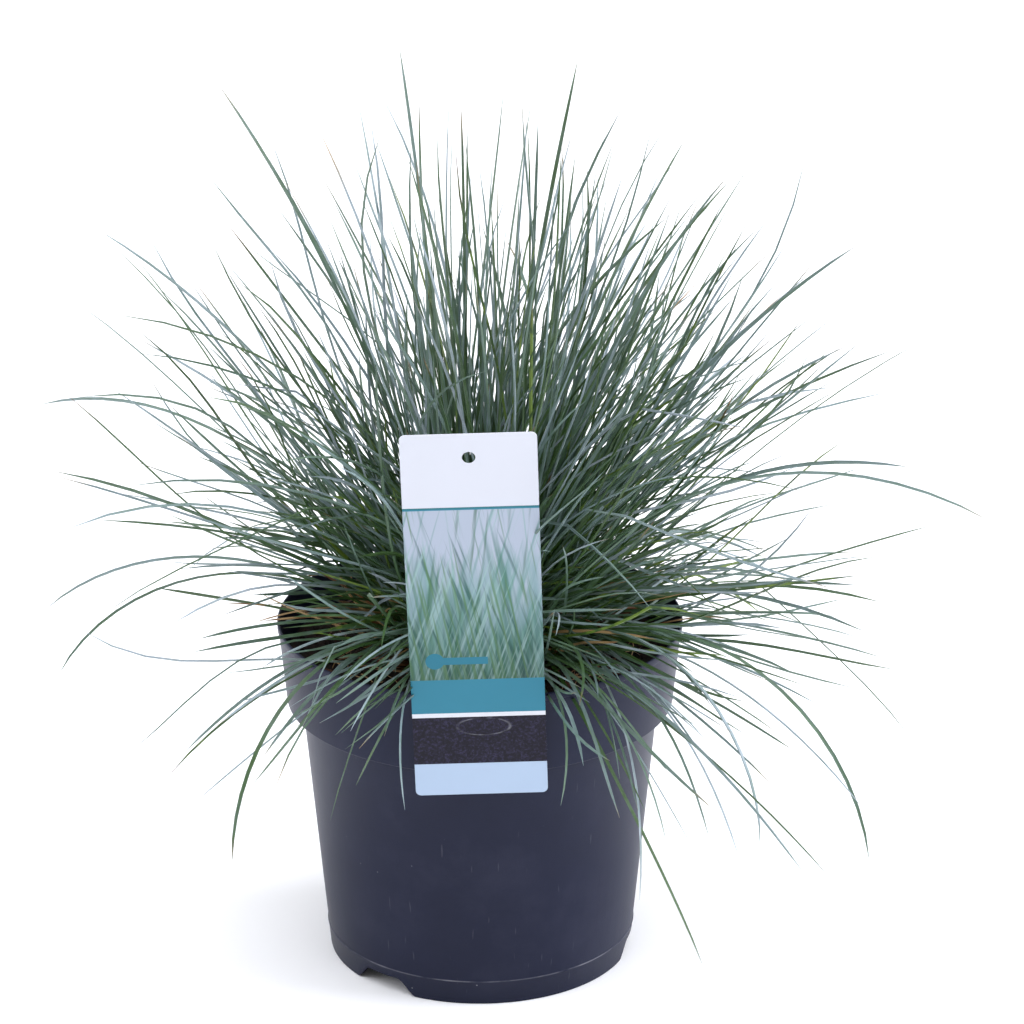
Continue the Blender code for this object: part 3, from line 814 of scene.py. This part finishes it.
def buildFibres(made, template):
    # coir strands that lie on the soil
    draw = random.Random(soil["seed"])
    kind = soil["fibres"]
    bm = startBlades()
    for number in range(kind["count"]):
        radius = draw.uniform(*kind["ring"])
        azimuth = draw.uniform(0, 360)
        start = outward(azimuth) * radius
        start.z = soilHeight(start.x, start.y) + kind["above"]
        length = draw.uniform(*kind["length"])
        heading = azimuth + draw.choice([-1, 1]) * draw.uniform(75, 150)
        plan = looks(draw)
        plan.update(start=start, azimuth=heading, lean=draw.uniform(80, 88), droop=draw.uniform(0, 12),
                    length=length, sway=draw.gauss(0, 60), width=kind["width"] * draw.uniform(0.6, 1.2),
                    dry=1, kink=0)
        tip = bladeRings(plan)[-1][0]
        if math.hypot(tip.x, tip.y) < kind["reach"]:
            addBlade(bm, template, plan)
    finishPiece("coir_fibres", bm, made, sharp=50)


leaf = leafMaterial()
template = bladeTemplate(blade["rings"])
longTemplate = bladeTemplate(blade["longRings"])
buildGrass(leaf, template, longTemplate)
buildDeadLeaves(leaf, template)
buildSheaths(leaf, template)
buildFibres(leaf, template)
for mesh, rings in (template, longTemplate):
    bpy.data.meshes.remove(mesh)
print("grass ready")


# Label: thin printed polypropylene sheet, and the strap behind it

printed = dict(
    head="#CFD2DB", headLine="#2F6F78", teal="#327A90", whiteLine="#D6D8DF", dark="#0A0717", foot="#A9BCD3",
    darkTop=42, whiteTop=44, tealTop=62.5, pictureTop=151.5, lineTop=152.6, footTop=16.5,
    badge=(-18.7, 72.5), badgeRadius=4.2, ribbon=(-18.7, 5, 1.9), weld=(2, 37, 12, 4.6),
)  # heights and places in millimetres from the middle of the label's foot
pictureBlades = [
    dict(tilt=-15, wide=1.1, long=46, share=0.5, tint="#648F88"),
    dict(tilt=9, wide=1.5, long=66, share=0.5, tint="#477569"),
    dict(tilt=4, wide=0.9, long=70, share=0.46, tint="#7EA29D"),
    dict(tilt=17, wide=0.9, long=52, share=0.38, tint="#2C544E"),
    dict(tilt=-7, wide=1.2, long=52, share=0.42, tint="#356246"),
    dict(tilt=-19, wide=0.7, long=56, share=0.32, tint="#93B1B0"),
    dict(tilt=9, wide=0.7, long=44, share=0.36, tint="#537A50"),
]


def labelPicture(tree, flat, height):
    # a generic meadow picture: streaks of leaf colour at several tilts, denser and greener lower down
    rise = addNode(tree, "MapRange", {"Value": height, "From Min": printed["tealTop"] * mm,
                                      "From Max": printed["pictureTop"] * mm})
    tall = addNode(tree, "Mapping", {"Vector": flat, "Scale": (1, 1, 0.22)}).outputs[0]
    haze = addNode(tree, "TexNoise", {"Vector": tall, "Scale": 120, "Detail": 2})  # 8 mm soft stems behind
    haze = addNode(tree, "Math", {0: haze.outputs["Fac"], 1: rise.outputs[0]}, operation="ADD")
    haze = addNode(tree, "Math", {0: haze.outputs[0], 1: 0.7}, operation="MULTIPLY")
    picture = setRamp(addNode(tree, "ValToRGB", {"Fac": haze.outputs[0]}),
                      [(0.28, "#2F5145"), (0.5, "#4F7872"), (0.69, "#7F9BA2"), (0.9, "#A8B2C2")])
    for number, streak in enumerate(pictureBlades):
        lined = addNode(tree, "Mapping", {"Vector": flat, "Location": (number * 0.37, 0, number * 0.11),
                                          "Rotation": (0, math.radians(streak["tilt"]), 0)})
        lined = addNode(tree, "Mapping", {"Vector": lined.outputs[0], "Scale": (
            1 / (streak["wide"] * 2.2 * mm), 0, 1 / (streak["long"] * mm))})
        strokes = addNode(tree, "TexNoise", {"Vector": lined.outputs[0], "Scale": 1, "Detail": 1})
        level = addNode(tree, "MapRange", {"Value": rise.outputs[0], "From Min": 0.0, "From Max": 1.0,
                                           "To Min": 0.62 - streak["share"] * 0.28,
                                           "To Max": 0.74 - streak["share"] * 0.2})
        over = addNode(tree, "Math", {0: strokes.outputs["Fac"], 1: level.outputs[0]}, operation="SUBTRACT")
        over = addNode(tree, "MapRange", {"Value": over.outputs[0], "From Min": -0.04, "From Max": 0.11,
                                          "To Max": 0.75})
        picture = addNode(tree, "Mix", {0: over.outputs[0], 6: picture, 7: colour(streak["tint"])},
                          data_type="RGBA").outputs[2]
    shade = addNode(tree, "MapRange", {"Value": rise.outputs[0], "From Max": 0.55, "To Min": 0.66,
                                       "To Max": 1.0})
    return addNode(tree, "Mix", {0: 1.0, 6: picture, 7: shade.outputs[0]}, data_type="RGBA",
                   blend_type="MULTIPLY").outputs[2]


def within(tree, value, middle, half, soft):
    # 1 where a value lies within half of the middle, in millimetres
    away = addNode(tree, "Math", {0: value, 1: middle * mm}, operation="SUBTRACT")
    away = addNode(tree, "Math", {0: away.outputs[0]}, operation="ABSOLUTE")
    inside = addNode(tree, "MapRange", {"Value": away.outputs[0], "From Min": (half + soft) * mm,
                                        "From Max": (half - soft) * mm})
    return inside.outputs[0]


def labelPlastic():
    # offset-printed polypropylene sheet: satin ink in flat bands round a soft picture, pale head and back
    made, tree, shader = startMaterial("printedLabelSheet", IOR=1.49, Specular_IOR_Level=0.2)
    place = addNode(tree, "TexCoord").outputs["Object"]
    flat = addNode(tree, "Mapping", {"Vector": place, "Location": [v * mm for v in labelCard["foot"]],
                                     "Rotation": labelTurn.to_euler()}, vector_type="TEXTURE").outputs[0]
    axes = addNode(tree, "SeparateXYZ", {0: flat})
    side, depth, height = axes.outputs["X"], axes.outputs["Y"], axes.outputs["Z"]
    share = addNode(tree, "Math", {0: height, 1: labelCard["length"] * mm}, operation="DIVIDE").outputs[0]
    length = labelCard["length"]
    bands = [("footTop", "dark"), ("darkTop", "whiteLine"), ("whiteTop", "teal"), ("pictureTop", "headLine"),
             ("lineTop", "head")]
    stops = [(0, printed["foot"])] + [(printed[start] / length, printed[tint]) for start, tint in bands]
    ink = setRamp(addNode(tree, "ValToRGB", {"Fac": share}), stops, "CONSTANT")
    speckle = addNode(tree, "TexNoise", {"Vector": flat, "Scale": 900, "Detail": 5,
                                         "Roughness": 0.75})  # 1 mm
    speckle = addNode(tree, "MapRange", {"Value": speckle.outputs["Fac"], "From Min": 0.48, "From Max": 0.72,
                                         "To Max": 0.16})
    middle = (printed["footTop"] + printed["darkTop"]) / 2
    band = within(tree, height, middle, (printed["darkTop"] - printed["footTop"]) / 2, 0.02)
    speckle = addNode(tree, "Math", {0: speckle.outputs[0], 1: band}, operation="MULTIPLY")
    ink = addNode(tree, "Mix", {0: speckle.outputs[0], 6: ink, 7: colour("#7D76B4")},
                  data_type="RGBA").outputs[2]
    middle = (printed["tealTop"] + printed["pictureTop"]) / 2
    window = within(tree, height, middle, (printed["pictureTop"] - printed["tealTop"]) / 2, 0.02)
    ink = addNode(tree, "Mix", {0: window, 6: ink, 7: labelPicture(tree, flat, height)},
                  data_type="RGBA").outputs[2]
    badgeX, badgeZ = printed["badge"]
    left, right, half = printed["ribbon"]
    fromBadge = addNode(tree, "VectorMath", {0: flat, 1: (badgeX * mm, 0, badgeZ * mm)}, operation="SUBTRACT")
    fromBadge = addNode(tree, "VectorMath", {0: fromBadge.outputs[0], 1: (1, 0, 1)}, operation="MULTIPLY")
    fromBadge = addNode(tree, "VectorMath", {0: fromBadge.outputs[0]}, operation="LENGTH").outputs["Value"]
    badge = within(tree, fromBadge, 0, printed["badgeRadius"], 0.08)
    ribbon = addNode(tree, "Math", {0: within(tree, side, (left + right) / 2, (right - left) / 2, 0.1),
                                    1: within(tree, height, badgeZ, half, 0.08)}, operation="MULTIPLY")
    badge = addNode(tree, "Math", {0: badge, 1: ribbon.outputs[0]}, operation="MAXIMUM").outputs[0]
    ink = addNode(tree, "Mix", {0: badge, 6: ink, 7: colour("#2C7388")}, data_type="RGBA").outputs[2]
    weldX, weldZ, wide, tall = printed["weld"]
    oval = addNode(tree, "VectorMath", {0: flat, 1: (weldX * mm, 0, weldZ * mm)}, operation="SUBTRACT")
    oval = addNode(tree, "VectorMath", {0: oval.outputs[0], 1: (1 / wide, 0, 1 / tall)}, operation="MULTIPLY")
    oval = addNode(tree, "VectorMath", {0: oval.outputs[0]}, operation="LENGTH").outputs["Value"]
    seam = within(tree, oval, 1, 0.045, 0.04)
    paler = addNode(tree, "TexNoise", {"Vector": flat, "Scale": 150, "Detail": 3})  # 7 mm gaps in the weld
    paler = addNode(tree, "MapRange", {"Value": paler.outputs["Fac"], "From Min": 0.42, "From Max": 0.62,
                                       "To Max": 0.2})
    paler = addNode(tree, "Math", {0: seam, 1: paler.outputs[0]}, operation="MULTIPLY").outputs[0]
    ink = addNode(tree, "Mix", {0: paler, 6: ink, 7: colour(printed["head"])}, data_type="RGBA").outputs[2]
    front = addNode(tree, "Math", {0: depth, 1: -labelCard["thick"] * 0.8 * mm},
                    operation="LESS_THAN").outputs[0]
    ink = addNode(tree, "Mix", {0: front, 6: colour(printed["head"]), 7: ink}, data_type="RGBA").outputs[2]
    tree.links.new(ink, shader.inputs["Base Color"])
    handled = addNode(tree, "TexNoise", {"Vector": flat, "Scale": 70, "Detail": 4})  # 14 mm handling smears
    rough = addNode(tree, "MapRange", {"Value": handled.outputs["Fac"], "To Min": 0.3, "To Max": 0.46})
    tree.links.new(rough.outputs[0], shader.inputs["Roughness"])
    sheet = addNode(tree, "TexNoise", {"Vector": flat, "Scale": 35, "Detail": 1})  # 29 mm waves in the sheet
    relief = addNode(tree, "Bump", {"Height": sheet.outputs["Fac"], "Strength": 0.25, "Distance": 0.001})
    relief = addNode(tree, "Bump", {"Height": seam, "Strength": 0.4, "Distance": 0.0001,
                                    "Normal": relief.outputs[0]})
    tree.links.new(relief.outputs[0], shader.inputs["Normal"])
    return made


def strapPlastic():
    # extruded polypropylene strip, uncoloured: milky, with faint ribs from the die
    made, tree, shader = startMaterial("milkyStrapStrip", IOR=1.49, Specular_IOR_Level=0.4)
    place = addNode(tree, "TexCoord").outputs["Object"]
    cloud = addNode(tree, "TexNoise", {"Vector": place, "Scale": 180, "Detail": 4})  # 6 mm
    base = setRamp(addNode(tree, "ValToRGB", {"Fac": cloud.outputs["Fac"]}),
                   [(0.3, "#B9BEC6"), (0.7, "#D2D6DC")])
    tree.links.new(base, shader.inputs["Base Color"])
    rough = addNode(tree, "MapRange", {"Value": cloud.outputs["Fac"], "To Min": 0.28, "To Max": 0.5})
    tree.links.new(rough.outputs[0], shader.inputs["Roughness"])
    ribs = addNode(tree, "TexWave", {"Vector": place, "Scale": 160}, bands_direction="X")  # ribs 2 mm apart
    relief = addNode(tree, "Bump", {"Height": ribs.outputs["Fac"], "Strength": 0.2, "Distance": 0.0001})
    tree.links.new(relief.outputs[0], shader.inputs["Normal"])
    return made


for name, plastic in (("label", labelPlastic), ("label_strap", strapPlastic)):
    nodes[name].data.materials.clear()
    nodes[name].data.materials.append(plastic())
print("label ready")

print("pieces ready")
